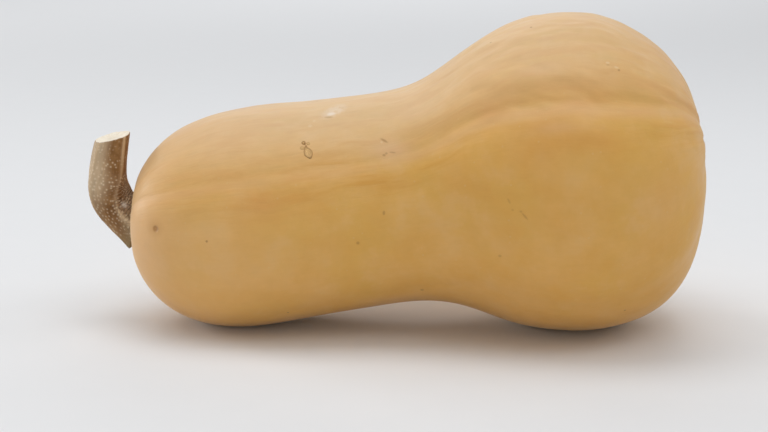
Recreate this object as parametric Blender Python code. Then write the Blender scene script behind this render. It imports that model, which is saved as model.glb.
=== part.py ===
"""A butternut squash laid on its side: the fruit, grown in one piece, and the stem it was cut by.

Metres, +Z up. The stem points to -X and the blossom end to +X. The fruit rests on two small flat
spots, under the neck and under the bulb, and the origin is the middle of the whole object's bottom.

Both pieces start as a UV sphere whose rings are moved by formula. The fruit's rings become upright
sections from the stem end to the blossom end. The stem's rings run from the middle of its foot, out
over the foot, along the stalk and in over the cut face.
"""

import math

import bmesh
import bpy
import numpy as np

# The fruit's driving dimensions
FRUIT_LENGTH = 0.2305
BULB_RADIUS = 0.0640
NECK_RADIUS = 0.0453
WAIST_RADIUS = 0.0434
STEM_END_HEIGHT = 0.0414
WAIST_AT = 0.100
SHOULDER_AT = 0.155

# Stations along the fruit: distance from the stem end, radius before the ends are rounded off,
# and height of the section's middle. The heights set the neck down on the floor beside the bulb.
STATIONS = np.array(
    [
        (0.000, NECK_RADIUS, STEM_END_HEIGHT),
        (0.025, NECK_RADIUS, 0.0415),
        (0.050, NECK_RADIUS, 0.0441),
        (0.075, 0.0443, 0.0480),
        (WAIST_AT, WAIST_RADIUS, 0.0522),
        (0.118, 0.0447, 0.0563),
        (0.136, 0.0521, 0.0620),
        (SHOULDER_AT, 0.0604, 0.0635),
        (0.175, BULB_RADIUS, 0.0631),
        (0.200, 0.0628, 0.0610),
        (FRUIT_LENGTH, 0.0634, 0.0582),
    ]
)

# Both ends are superellipses: how far the rounding reaches along the fruit, and its exponent
STEM_END = (0.060, 2.57)
BLOSSOM_END = (0.056, 2.52)

# Hollows at the two ends, as depth and half width, and the corky scar that fills the middle of the
# one at the blossom end, as height and radius
STEM_HOLLOW = (0.0036, 0.0120)
BLOSSOM_HOLLOW = (0.0022, 0.0110)
BLOSSOM_SCAR = (0.0012, 0.0048)
HOLLOW_SHARPNESS = 2
SCAR_SHARPNESS = 4

# Ten grooves run lengthwise between the ribs: angle about the fruit's length in degrees, from the
# side that faces -Y up over the top, and depth on the bulb. On the neck they are faint and lie a
# little lower. The ones not in the photo are spaced as the ones that are.
GROOVES = np.array(
    [
        (35, 0.0015),
        (62, 0.0008),
        (96, 0.0007),
        (134, 0.0009),
        (172, 0.0007),
        (210, 0.0008),
        (246, 0.0006),
        (283, 0.0006),
        (316, 0.0006),
        (348, 0.0007),
    ]
)
GROOVE_HALF_WIDTH = math.radians(7.5)
NECK_GROOVE_SHARE = 0.3
NECK_GROOVE_TURN = math.radians(-4)

# Over this length before the blossom end the grooves lose a share of their depth
GROOVE_FADE_LENGTH = 0.034
GROOVE_FADE = 0.55

# The grooves meet at the blossom scar, which has grown above the middle of the blossom end. From
# SCAR_PULL_FROM on, the axis that they lie round rises towards it.
SCAR_LIFT = 0.0170
SCAR_PULL_FROM = 0.182
SCAR_PULL_POWER = 1.6

# Broad swellings and dips that keep the fruit from being a turned shape: each is a count of half
# waves along the fruit and of whole waves around it. They fade out where the stem's foot lies.
LUMPS = ((1, 0), (1, 1), (2, 2), (2, 3), (3, 0), (3, 1), (4, 2), (4, 3), (5, 1))
LUMP_HEIGHT = 0.00045
LUMP_LEAN = 0.2
RELIEF_FADE = 0.022
RELIEF_SHARPNESS = 4

# The stem's driving dimensions: points of its middle line from the foot to the cut, as offsets
# from the bottom of the hollow, and its radius at shares of that line
STEM_LINE = np.array(
    [
        (0.0000, 0.0000, 0.0000),
        (-0.0042, 0.0002, 0.0016),
        (-0.0090, 0.0004, 0.0070),
        (-0.0123, 0.0004, 0.0142),
        (-0.0127, 0.0002, 0.0220),
        (-0.0116, 0.0000, 0.0292),
        (-0.0098, -0.0002, 0.0362),
    ]
)
STEM_RADII = np.array(
    [
        (0.00, 0.0125),
        (0.08, 0.0100),
        (0.20, 0.0082),
        (0.38, 0.0076),
        (0.60, 0.0073),
        (0.85, 0.0067),
        (1.00, 0.0064),
    ]
)
STEM_ANGLES = 5
STEM_ANGLE_HEIGHT = 0.055
STEM_TWIST = math.radians(28)
FOOT_LOBE_HEIGHT = 0.12
FOOT_LOBE_REACH = 0.12

# The cut slants over the last part of the stem, and the pith in its middle has shrunk
CUT_TILT = math.radians(-24)
CUT_FROM = 0.8
CUT_DISH = 0.0010

# Clearance between the stem's foot and the fruit
GAP = 0.0003

# Points this near the floor are put on it before the fruit is cut flat there, so that the cut
# leaves no slivers
FLOOR_SNAP = 0.00006

# Mesh resolution
FRUIT_SEGMENTS = 84
FRUIT_RINGS = 62
RING_CROWDING = 0.15
STEM_SEGMENTS = 40
FOOT_RINGS = 5
STALK_RINGS = 22
STALK_CROWDING = 1.25
CUT_RINGS = 4
END_SAMPLES = 400

# Steps used to read slopes off the formulas
TURN_STEP = 1e-4
SHARE_STEP = 1e-3

SEED = 11

RIND_COLOUR = (0.60, 0.37, 0.16)
RIND_ROUGHNESS = 0.5
WOOD_COLOUR = (0.21, 0.13, 0.07)
WOOD_ROUGHNESS = 0.75


def spline(knots, values, at):
    """Value of the natural cubic spline through the knots."""
    step = np.diff(knots)
    rise = np.diff(values) / step
    count = len(knots)
    matrix = np.eye(count)
    target = np.zeros(count)
    for i in range(1, count - 1):
        matrix[i, i - 1 : i + 2] = step[i - 1], 2 * (step[i - 1] + step[i]), step[i]
        target[i] = 6 * (rise[i] - rise[i - 1])
    bend = np.linalg.solve(matrix, target)
    i = np.clip(np.searchsorted(knots, at) - 1, 0, count - 2)
    before = at - knots[i]
    after = knots[i + 1] - at
    curved = (bend[i] * after**3 + bend[i + 1] * before**3) / (6 * step[i])
    left = (values[i] / step[i] - bend[i] * step[i] / 6) * after
    right = (values[i + 1] / step[i] - bend[i + 1] * step[i] / 6) * before
    return curved + left + right


def rounding(distance, end):
    """Share of the full radius at a distance in from one end: a superellipse quarter."""
    reach, power = end
    u = np.clip(1 - distance / reach, 0, 1)
    return (1 - u**power) ** (1 / power)


def mound(radius, height_and_width, sharpness):
    """Height of a round mound at a distance from its middle: a bell curve."""
    height, width = height_and_width
    return height * np.exp(-((radius / width) ** sharpness))


def eased(share):
    """Smooth step of a share, held between 0 and 1."""
    held = np.clip(share, 0, 1)
    return held * held * (3 - 2 * held)


def fruit_profile(turn):
    """Distance along the fruit and radius, as turn runs from 0 at the stem end to pi."""
    along = FRUIT_LENGTH * (1 - np.cos(turn)) / 2
    radius = spline(STATIONS[:, 0], STATIONS[:, 1], along)
    radius = radius * rounding(along, STEM_END) * rounding(FRUIT_LENGTH - along, BLOSSOM_END)
    return along, radius


def stem_hollow(radius):
    return mound(radius, STEM_HOLLOW, HOLLOW_SHARPNESS)


def ends(along, out, up):
    """How far the hollows and the blossom scar move a point in X, at its place across the fruit."""
    from_scar = np.hypot(out, up - SCAR_LIFT)
    at_blossom = mound(from_scar, BLOSSOM_SCAR, SCAR_SHARPNESS)
    at_blossom -= mound(from_scar, BLOSSOM_HOLLOW, HOLLOW_SHARPNESS)
    return np.where(along < FRUIT_LENGTH / 2, stem_hollow(np.hypot(out, up)), at_blossom)


def grooves(along, out, up):
    """Depth of the lengthwise grooves: bell curves across, faint on the neck, full on the bulb."""
    pull = np.clip((along - SCAR_PULL_FROM) / (FRUIT_LENGTH - SCAR_PULL_FROM), 0, 1)
    angle = np.arctan2(up - SCAR_LIFT * pull**SCAR_PULL_POWER, out)
    on_bulb = eased((along - WAIST_AT) / (SHOULDER_AT - WAIST_AT))
    fade = GROOVE_FADE * eased(1 - (FRUIT_LENGTH - along) / GROOVE_FADE_LENGTH)
    total = np.zeros_like(angle)
    for degrees, depth in GROOVES:
        turn = math.radians(degrees) + NECK_GROOVE_TURN * (1 - on_bulb)
        off = np.angle(np.exp(1j * (angle - turn)))
        total += depth * np.exp(-((off / GROOVE_HALF_WIDTH) ** 2))
    return total * (1 - fade) * (NECK_GROOVE_SHARE + (1 - NECK_GROOVE_SHARE) * on_bulb)


def swellings(along, angle):
    """Sum of the long waves in LUMPS, lower the shorter they are along the fruit."""
    draw = np.random.default_rng(SEED)
    total = np.zeros_like(angle)
    for halves, around in LUMPS:
        lean, start = draw.uniform(-LUMP_LEAN, LUMP_LEAN), draw.uniform(0, 2 * np.pi)
        phase = np.pi * halves * along / FRUIT_LENGTH * (1 + lean) + around * angle
        total += LUMP_HEIGHT * np.cos(phase + start) / math.sqrt(halves)
    return total


def fruit_surface(turn, angle):
    """The fruit's points: the profile turned about the length, then raised along its normal."""
    along, radius = fruit_profile(turn)
    before, radius_before = fruit_profile(np.clip(turn - TURN_STEP, 0, np.pi))
    after, radius_after = fruit_profile(np.clip(turn + TURN_STEP, 0, np.pi))
    run, rise = after - before, radius_after - radius_before
    length = np.hypot(run, rise)
    out, up = radius * np.cos(angle), radius * np.sin(angle)
    fade = 1 - mound(radius, (1, RELIEF_FADE), RELIEF_SHARPNESS)
    relief = fade * swellings(along, angle)
    relief -= np.where(along < WAIST_AT, fade, 1) * grooves(along, out, up)
    raised = radius + relief * run / length
    x = along + ends(along, out, up) - relief * rise / length
    middle = spline(STATIONS[:, 0], STATIONS[:, 2], along)
    return np.stack([x, -raised * np.cos(angle), middle + raised * np.sin(angle)], axis=1)


def fruit_end(radius):
    """Where the fruit's stem end lies in X, at a distance from its middle."""
    along, out = fruit_profile(np.linspace(0, np.pi / 4, END_SAMPLES))
    return np.interp(radius, out, along + stem_hollow(out))


def sphere(name, segments, rings):
    """A UV sphere, with each vertex's ring number from one pole and its angle about the axis."""
    mesh = bpy.data.meshes.new(name)
    shape = bmesh.new()
    bmesh.ops.create_uvsphere(shape, u_segments=segments, v_segments=rings, radius=1)
    shape.to_mesh(mesh)
    shape.free()
    points = points_of(mesh)
    ring = np.rint(np.arccos(np.clip(points[:, 2], -1, 1)) / np.pi * rings)
    return mesh, ring, np.arctan2(points[:, 1], points[:, 0])


def points_of(mesh):
    points = np.empty(len(mesh.vertices) * 3)
    mesh.vertices.foreach_get("co", points)
    return points.reshape(-1, 3)


def shape_fruit():
    """The fruit, with its rings crowded towards both ends."""
    mesh, ring, angle = sphere("fruit", FRUIT_SEGMENTS, FRUIT_RINGS)
    turn = np.pi * ring / FRUIT_RINGS
    turn -= RING_CROWDING * np.sin(2 * turn)
    mesh.vertices.foreach_set("co", fruit_surface(turn, angle).ravel())
    return mesh


def stem_frame(share):
    """Middle of the stem, the two directions across it and the one along it, at shares of it."""
    lengths = np.linalg.norm(np.diff(STEM_LINE, axis=0), axis=1)
    knots = np.append(0, np.cumsum(lengths)) / lengths.sum()

    def line(at):
        return np.stack([spline(knots, STEM_LINE[:, i], at) for i in range(3)], axis=1)

    ahead = line(np.clip(share + SHARE_STEP, 0, 1)) - line(np.clip(share - SHARE_STEP, 0, 1))
    ahead /= np.linalg.norm(ahead, axis=1)[:, None]
    side = np.cross(ahead, (0, 1, 0))
    side /= np.linalg.norm(side, axis=1)[:, None]
    return line(share), side, np.cross(side, ahead), ahead


def stem_section(share, angle):
    """Radius of the stem: five rounded angles that turn slowly and grow into lobes at the foot."""
    radius = spline(STEM_RADII[:, 0], STEM_RADII[:, 1], share)
    foot = mound(share, (1, FOOT_LOBE_REACH), HOLLOW_SHARPNESS)
    height = STEM_ANGLE_HEIGHT + (FOOT_LOBE_HEIGHT - STEM_ANGLE_HEIGHT) * foot
    return radius * (1 + height * np.cos(STEM_ANGLES * (angle + STEM_TWIST * share)))


def shape_stem(seat):
    """The stem. Its foot follows the fruit's hollow, GAP away from it."""
    rings = FOOT_RINGS + STALK_RINGS + CUT_RINGS
    mesh, ring, angle = sphere("stem", STEM_SEGMENTS, rings)
    foot_share = np.clip(ring / FOOT_RINGS, 0, 1)
    cut_share = np.clip((rings - ring) / CUT_RINGS, 0, 1)
    share = np.clip((ring - FOOT_RINGS) / STALK_RINGS, 0, 1) ** STALK_CROWDING
    middle, side, up, ahead = stem_frame(share)
    out = stem_section(share, angle) * foot_share * cut_share
    across = out * np.cos(angle)
    above = out * np.sin(angle)
    points = seat + middle + across[:, None] * side + above[:, None] * up
    slant = across * math.tan(CUT_TILT) * np.clip((share - CUT_FROM) / (1 - CUT_FROM), 0, 1)
    dish = CUT_DISH * (1 - cut_share**2)
    points += (slant - dish)[:, None] * ahead
    on_foot = ring <= FOOT_RINGS
    points[on_foot, 0] = fruit_end(out[on_foot]) - GAP
    mesh.vertices.foreach_set("co", points.ravel())
    return mesh


def cut_flat(mesh):
    """Cuts the mesh off at the floor and closes the openings with flat faces."""
    points = points_of(mesh)
    points[np.abs(points[:, 2]) < FLOOR_SNAP, 2] = 0
    mesh.vertices.foreach_set("co", points.ravel())
    shape = bmesh.new()
    shape.from_mesh(mesh)
    cut = bmesh.ops.bisect_plane(
        shape,
        geom=shape.verts[:] + shape.edges[:] + shape.faces[:],
        dist=1e-6,
        plane_co=(0, 0, 0),
        plane_no=(0, 0, 1),
        clear_inner=True,
    )
    rim = [e for e in cut["geom_cut"] if isinstance(e, bmesh.types.BMEdge)]
    bmesh.ops.edgeloop_fill(shape, edges=rim)
    bmesh.ops.recalc_face_normals(shape, faces=shape.faces[:])
    shape.to_mesh(mesh)
    shape.free()


def plain_material(name, colour, roughness):
    material = bpy.data.materials.new(name)
    material.use_nodes = True
    shader = material.node_tree.nodes["Principled BSDF"]
    shader.inputs["Base Color"].default_value = (*colour, 1)
    shader.inputs["Roughness"].default_value = roughness
    shader.inputs["Metallic"].default_value = 0
    return material


def place(meshes, materials, collection):
    """Adds the meshes as objects, moved so that the middle of their bottom is the origin."""
    together = np.concatenate([points_of(mesh) for mesh in meshes])
    middle = (together.min(axis=0) + together.max(axis=0)) / 2
    middle[2] = 0
    for mesh, material in zip(meshes, materials):
        mesh.vertices.foreach_set("co", (points_of(mesh) - middle).ravel())
        mesh.materials.append(material)
        mesh.shade_smooth()
        collection.objects.link(bpy.data.objects.new(mesh.name, mesh))


def main():
    for obj in list(bpy.data.objects):
        bpy.data.objects.remove(obj, do_unlink=True)
    collection = bpy.data.collections.new("butternut_squash")
    bpy.context.scene.collection.children.link(collection)
    fruit = shape_fruit()
    cut_flat(fruit)
    stem = shape_stem(np.array([fruit_end(0.0) - GAP, 0.0, STEM_END_HEIGHT]))
    rind = plain_material("rind", RIND_COLOUR, RIND_ROUGHNESS)
    wood = plain_material("woody_stem", WOOD_COLOUR, WOOD_ROUGHNESS)
    place([fruit, stem], [rind, wood], collection)


main()
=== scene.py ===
"""How a butternut squash on its side looks: its rind, its woody stem and its corky scars.

Metres, +Z up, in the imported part's frame: the stem points to -X and the blossom end to +X. Each
piece is a formula worked out on a grid of two parameters. The rind's two are the turn, from 0 at the
stem end to pi at the blossom end, and the angle about the fruit's length, from the side that faces
-Y up over the top. The rind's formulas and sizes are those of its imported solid, with finer relief.
"""

import math

import bmesh
import bpy
import numpy as np
from mathutils import Matrix, Vector


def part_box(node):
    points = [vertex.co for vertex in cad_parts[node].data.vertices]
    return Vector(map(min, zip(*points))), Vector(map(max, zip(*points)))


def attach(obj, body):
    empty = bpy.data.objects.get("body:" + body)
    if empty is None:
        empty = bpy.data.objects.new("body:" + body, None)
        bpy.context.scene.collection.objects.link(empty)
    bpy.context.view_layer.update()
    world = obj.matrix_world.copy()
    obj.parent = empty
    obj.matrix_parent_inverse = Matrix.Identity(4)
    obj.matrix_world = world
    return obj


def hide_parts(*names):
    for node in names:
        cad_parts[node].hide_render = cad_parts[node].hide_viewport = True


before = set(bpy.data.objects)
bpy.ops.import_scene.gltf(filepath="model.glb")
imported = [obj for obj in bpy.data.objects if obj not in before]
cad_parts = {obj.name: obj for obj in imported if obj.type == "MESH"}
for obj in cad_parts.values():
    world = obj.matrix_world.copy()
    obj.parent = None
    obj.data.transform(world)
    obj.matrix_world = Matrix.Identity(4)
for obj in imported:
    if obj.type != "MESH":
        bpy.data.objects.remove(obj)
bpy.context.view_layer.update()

# ------ sizes shared with the solids

FRUIT_LENGTH = 0.2305
STEM_END_HEIGHT = 0.0414
WAIST_AT = 0.1
SHOULDER_AT = 0.155

# Distance from the stem end, radius before the ends are rounded off, height of the section's middle
STATIONS = np.array([
    (0.0, 0.0453, STEM_END_HEIGHT), (0.025, 0.0453, 0.0415), (0.05, 0.0453, 0.0441),
    (0.075, 0.0443, 0.048), (WAIST_AT, 0.0434, 0.0522), (0.118, 0.0447, 0.0563),
    (0.136, 0.0521, 0.062), (SHOULDER_AT, 0.0604, 0.0635), (0.175, 0.064, 0.0631),
    (0.2, 0.0628, 0.061), (FRUIT_LENGTH, 0.0634, 0.0582),
])
STEM_END = (0.06, 2.57)
BLOSSOM_END = (0.056, 2.52)
STEM_HOLLOW = (0.0036, 0.012)
BLOSSOM_HOLLOW = (0.0022, 0.011)
BLOSSOM_SCAR = (0.0012, 0.0048)
HOLLOW_SHARPNESS = 2
SCAR_SHARPNESS = 4

# Angle about the fruit's length and depth of each groove between two ribs
GROOVES = np.array([
    (35, 0.0015), (62, 0.0008), (96, 0.0007), (134, 0.0009), (172, 0.0007),
    (210, 0.0008), (246, 0.0006), (283, 0.0006), (316, 0.0006), (348, 0.0007),
])
GROOVE_HALF_WIDTH = math.radians(7.5)
NECK_GROOVE_SHARE = 0.3
NECK_GROOVE_TURN = math.radians(-4)
GROOVE_FADE_LENGTH = 0.034
GROOVE_FADE = 0.55
SCAR_LIFT = 0.017
SCAR_PULL_FROM = 0.182
SCAR_PULL_POWER = 1.6
LUMPS = ((1, 0), (1, 1), (2, 2), (2, 3), (3, 0), (3, 1), (4, 2), (4, 3), (5, 1))
LUMP_HEIGHT = 0.00045
LUMP_LEAN = 0.2
LUMP_SEED = 11
RELIEF_FADE = 0.022
RELIEF_SHARPNESS = 4

# The stem's line, as offsets from the bottom of the hollow, and its radius at shares of the line. They
# follow the photograph's outline, so the bark lies 0.8 mm from the solid on average, 4.6 mm at most
STEM_LINE = np.array([
    (0.0, 0.0, 0.0), (-0.0043, 0.0002, 0.002), (-0.0101, 0.0004, 0.0074),
    (-0.0129, 0.0004, 0.014), (-0.0126, 0.0002, 0.0223), (-0.0115, 0.0, 0.0291),
    (-0.0102, -0.0002, 0.0353),
])
STEM_RADII = np.array([
    (0.0, 0.0108), (0.08, 0.0092), (0.2, 0.0078), (0.38, 0.0077), (0.6, 0.0074),
    (0.85, 0.0069), (1.0, 0.0067),
])
STEM_ANGLES = 5
STEM_ANGLE_HEIGHT = 0.055
FOOT_LOBE_HEIGHT = 0.12
FOOT_LOBE_REACH = 0.12

# The stem's five angles: where the first stands at the cut, how far they turn towards the foot and
# between which shares, and how much and on which side they crowd
ANGLE_START = math.radians(8)
ANGLE_TURN = math.radians(42)
TURN_FROM = 0.7
TURN_TO = 0.1
CROWDING = math.radians(12)
CROWDED_SIDE = math.radians(261.5)
CUT_TILT = math.radians(-24)
CUT_FROM = 0.8
# The cut face as the photograph shows it: its nearer side lower, and all of it lower by the drop
CUT_LEAN = math.radians(5.5)
CUT_DROP = 0.00045
CUT_DISH = 0.001
GAP = 0.0003

# ------ the looks' own sizes

# Length of the stem's middle line and girth round its middle, for what is laid out on it unrolled
STEM_LENGTH = 0.0414
STEM_GIRTH = 2 * math.pi * 0.0072

# The bark stands this share of the radius above the solid's plain section
BARK_RISE = 0.055

# The deepest groove has a crease along its bottom: half width and depth
CREASE_HALF_WIDTH = math.radians(1.9)
CREASE_DEPTH = 0.00028

# Lengthwise streaks: cells along the fruit, cells round it, height, seed
STREAKS = ((12, 44, 0.00026, 32), (22, 84, 0.00028, 33), (40, 170, 0.00016, 34))
STREAK_STEEPNESS = 2.0
STREAK_SPIRAL = 0.05
STREAK_NECK_SHARE = 0.36
DENTS = (18, 30, 0.00007, 35)
STREAK_RADIUS = 0.06

# Sideways bends of the streaks, in turns, and of the grooves, in radians
STREAK_BENDS = ((6, 10, 0.01, 31), (30, 40, 0.005, 36))
GROOVE_BEND = (9, 7, 0.014, 40)

# The rind is lined where the sine of the angle is over a height, which is greater on the bulb
LINED_FROM = 0.02
LINED_BULB_RISE = 0.26
LINED_SOFTNESS = 0.35
LINED_LEAST = 0.14

# Samples of the profile for lengths along it
PROFILE_STEPS = 3000

# How softly the rind flattens where it rests
REST_SOFTNESS = 0.0004

# The grain's coordinates are laid out on a rod of this radius
GRAIN_RADIUS = 0.05

# Corky scar on the neck: its middle's place, half length, half width, lean
NECK_SCAR_PLACE = (-0.0321, -0.0326, 0.0774)
NECK_SCAR = (0.0056, 0.003, math.radians(-68.5))


# ------ formulas


def spline(knots, values, at):
    """Value of the natural cubic spline through the knots."""
    step = np.diff(knots)
    rise = np.diff(values) / step
    count = len(knots)
    matrix = np.eye(count)
    target = np.zeros(count)
    for i in range(1, count - 1):
        matrix[i, i - 1 : i + 2] = step[i - 1], 2 * (step[i - 1] + step[i]), step[i]
        target[i] = 6 * (rise[i] - rise[i - 1])
    bend = np.linalg.solve(matrix, target)
    i = np.clip(np.searchsorted(knots, at) - 1, 0, count - 2)
    before = at - knots[i]
    after = knots[i + 1] - at
    curved = (bend[i] * after**3 + bend[i + 1] * before**3) / (6 * step[i])
    left = (values[i] / step[i] - bend[i] * step[i] / 6) * after
    right = (values[i + 1] / step[i] - bend[i + 1] * step[i] / 6) * before
    return curved + left + right


def mound(radius, height_and_width, sharpness):
    """height * exp(-(radius / width)^sharpness): a round mound's height at a distance from its middle."""
    height, width = height_and_width
    return height * np.exp(-((np.abs(radius) / width) ** sharpness))


def eased(share):
    """3 t^2 - 2 t^3 of the share held between 0 and 1."""
    held = np.clip(share, 0, 1)
    return held * held * (3 - 2 * held)


def lattice(along, turns, cells_along, cells_round, seed):
    """Smooth noise, mostly between -1 and 1, which closes round.

    Random heights stand on a lattice of cells, and each point takes the cubic B-spline mean of the
    four by four heights around it. along runs from 0 to 1, turns repeats after 1.
    """
    heights = np.random.default_rng(seed).uniform(-2.5, 2.5, (cells_along + 4, cells_round))
    u = np.clip(along, 0, 1) * cells_along
    v = (turns % 1) * cells_round
    i, j = np.floor(u).astype(int), np.floor(v).astype(int)
    total = np.zeros(np.broadcast(u, v).shape)
    for a, weight in enumerate(basis(u - i)):
        for b, weight_round in enumerate(basis(v - j)):
            total = total + weight * weight_round * heights[i + a, (j + b) % cells_round]
    return total


def waves(along, turns, sizes):
    """Lattice noise of a height, from (cells along, cells round, height, seed)."""
    cells_along, cells_round, height, seed = sizes
    return height * lattice(along, turns, cells_along, cells_round, seed)


def basis(t):
    """The cubic B-spline's four weights at a share t of a cell."""
    second = (3 * t**3 - 6 * t**2 + 4) / 6
    third = (-3 * t**3 + 3 * t**2 + 3 * t + 1) / 6
    return (1 - t) ** 3 / 6, second, third, t**3 / 6


def bell(off, width):
    """exp(-(off / width)^2)."""
    return np.exp(-((off / width) ** 2))


def stack(*layers):
    """The layers side by side, as one vector a point."""
    return np.stack(layers, axis=-1)


def apart(angle, other):
    """Signed angle from another one, between -pi and pi."""
    return np.angle(np.exp(1j * (angle - other)))


def round_about(columns):
    """Angles of the columns, evenly spaced round a piece, as one row."""
    return (np.arange(columns) / columns * 2 * np.pi)[None, :]


# ------ the rind's shape


def rounding(distance, end):
    """(1 - u^p)^(1/p) with u = 1 - distance / reach: share of the full radius near one end."""
    reach, power = end
    u = np.clip(1 - distance / reach, 0, 1)
    return (1 - u**power) ** (1 / power)


def fruit_profile(turn):
    """Distance along the fruit, L (1 - cos turn) / 2, and the splined, rounded radius there."""
    along = FRUIT_LENGTH * (1 - np.cos(turn)) / 2
    radius = spline(STATIONS[:, 0], STATIONS[:, 1], along)
    radius = radius * rounding(along, STEM_END) * rounding(FRUIT_LENGTH - along, BLOSSOM_END)
    return along, radius


def ends(along, out, up):
    """How far the hollows and the blossom scar's seat move a point in X, at its place across."""
    from_scar = np.hypot(out, up - SCAR_LIFT)
    at_blossom = mound(from_scar, BLOSSOM_SCAR, SCAR_SHARPNESS)
    at_blossom = at_blossom - mound(from_scar, BLOSSOM_HOLLOW, HOLLOW_SHARPNESS)
    at_stem = mound(np.hypot(out, up), STEM_HOLLOW, HOLLOW_SHARPNESS)
    return np.where(along < FRUIT_LENGTH / 2, at_stem, at_blossom)


def rib_angle(along, out, up):
    """Angle about an axis that rises towards the blossom scar near that end."""
    pull = np.clip((along - SCAR_PULL_FROM) / (FRUIT_LENGTH - SCAR_PULL_FROM), 0, 1)
    return np.arctan2(up - SCAR_LIFT * pull**SCAR_PULL_POWER, out)


def bulb_share(along, on_neck=0.0):
    """on_neck along the neck, eased up to 1 on the bulb, between the waist and the shoulder."""
    return on_neck + (1 - on_neck) * eased((along - WAIST_AT) / (SHOULDER_AT - WAIST_AT))


def off_groove(along, ribs, degrees):
    """Signed angle from a groove, which lies a little lower on the neck than on the bulb."""
    sway = waves(along / FRUIT_LENGTH, 0 * ribs + degrees / 360, GROOVE_BEND)
    groove = math.radians(degrees) + NECK_GROOVE_TURN * (1 - bulb_share(along)) + sway
    return apart(ribs, groove)


def grooves(along, ribs):
    """Depth of the grooves: bell curves across, faint on the neck, full on the bulb, and fading
    towards the blossom end."""
    total = np.zeros_like(ribs)
    for degrees, depth in GROOVES:
        off = off_groove(along, ribs, degrees)
        total = total + mound(off, (depth, GROOVE_HALF_WIDTH), 2)
        crease = CREASE_DEPTH * depth / GROOVES[0, 1]
        total = total + mound(off, (crease, CREASE_HALF_WIDTH), 2)
    fade = GROOVE_FADE * eased(1 - (FRUIT_LENGTH - along) / GROOVE_FADE_LENGTH)
    return total * (1 - fade) * bulb_share(along, NECK_GROOVE_SHARE)


def swellings(along, angle):
    """Sum of long waves, lower the shorter they are along the fruit."""
    draw = np.random.default_rng(LUMP_SEED)
    total = np.zeros_like(angle)
    for halves, around in LUMPS:
        lean, start = draw.uniform(-LUMP_LEAN, LUMP_LEAN), draw.uniform(0, 2 * np.pi)
        phase = np.pi * halves * along / FRUIT_LENGTH * (1 + lean) + around * angle
        total = total + LUMP_HEIGHT * np.cos(phase + start) / math.sqrt(halves)
    return total


def lined(along, angle):
    """How strongly the rind is lined: an eased step of the height round it, sin(angle), so that the
    lines keep to its upper side, above the deepest groove on the bulb."""
    above = np.sin(angle) - LINED_FROM - LINED_BULB_RISE * bulb_share(along)
    return LINED_LEAST + (1 - LINED_LEAST) * eased(above / LINED_SOFTNESS)


def streaks(along, ribs, angle, radius):
    """Low lengthwise streaks and dents: lattice noises long in the fruit's direction, bent sideways.

    They keep to the lined upper side, are fainter on the neck, and shrink with the radius towards
    the ends.
    """
    share = along / FRUIT_LENGTH
    turns = ribs / (2 * np.pi)
    for bend in STREAK_BENDS:
        turns = turns + waves(share, turns, bend)
    total = np.zeros_like(ribs)
    for cells_along, cells_round, height, seed in STREAKS:
        wave = lattice(share, turns + STREAK_SPIRAL * share, cells_along, cells_round, seed)
        total = total + height * np.tanh(STREAK_STEEPNESS * wave)
    total = total * lined(along, angle) * bulb_share(along, STREAK_NECK_SHARE)
    return (total + waves(share, turns, DENTS)) * eased(radius / STREAK_RADIUS)


def arc_along(turn):
    """Length of the fruit's profile from the stem end to a turn."""
    fine = np.linspace(0, np.pi, PROFILE_STEPS)
    along, radius = fruit_profile(fine)
    steps = np.hypot(np.diff(along), np.diff(radius))
    return np.interp(turn, fine, np.append(0, np.cumsum(steps)))


def rind_points(turn, angle, raise_by=0):
    """Points of the rind before it is set in place: the profile turned about the length, then moved
    along its normal by swellings + streaks - grooves + raise_by, and by the hollows at the ends."""
    step = 1e-4
    along, radius = fruit_profile(turn)
    before, radius_before = fruit_profile(np.clip(turn - step, 0, np.pi))
    after, radius_after = fruit_profile(np.clip(turn + step, 0, np.pi))
    run, rise = after - before, radius_after - radius_before
    length = np.hypot(run, rise)
    out, up = radius * np.cos(angle), radius * np.sin(angle)
    ribs = rib_angle(along, out, up)
    fade = 1 - mound(radius, (1, RELIEF_FADE), RELIEF_SHARPNESS)
    relief = fade * swellings(along, angle) + streaks(along, ribs, angle, radius)
    relief = relief - np.where(along < WAIST_AT, fade, 1) * grooves(along, ribs) + raise_by
    raised = radius + relief * run / length
    x = along + ends(along, out, up) - relief * rise / length
    middle = spline(STATIONS[:, 0], STATIONS[:, 2], along)
    return stack(x, -raised * np.cos(angle), middle + raised * np.sin(angle))


def turn_at(along):
    """The turn at a distance along the fruit: arccos(1 - 2 along / L)."""
    return np.arccos(np.clip(1 - 2 * along / FRUIT_LENGTH, -1, 1))


def set_down(points):
    """z' = (z + sqrt(z^2 + k^2)) / 2: presses what is below the floor flat, softly."""
    points = points.copy()
    z = points[..., 2]
    points[..., 2] = (z + np.sqrt(z * z + REST_SOFTNESS**2)) / 2
    return points


# ------ meshes


def placed(name, data):
    """An object of this name in the scene."""
    thing = bpy.data.objects.new(name, data)
    bpy.context.scene.collection.objects.link(thing)
    return thing


def net(rows, around):
    """Faces between rings of points, each closed round, and from a last point to the first ring."""
    i, j = np.indices((rows - 1, around))
    here, beside = i * around + j, i * around + (j + 1) % around
    quads = stack(here, here + around, beside + around, beside).reshape(-1, 4)
    j = np.arange(around)
    fan = stack(np.full(around, rows * around), j, (j + 1) % around)
    return quads.tolist() + fan.tolist()


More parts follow.
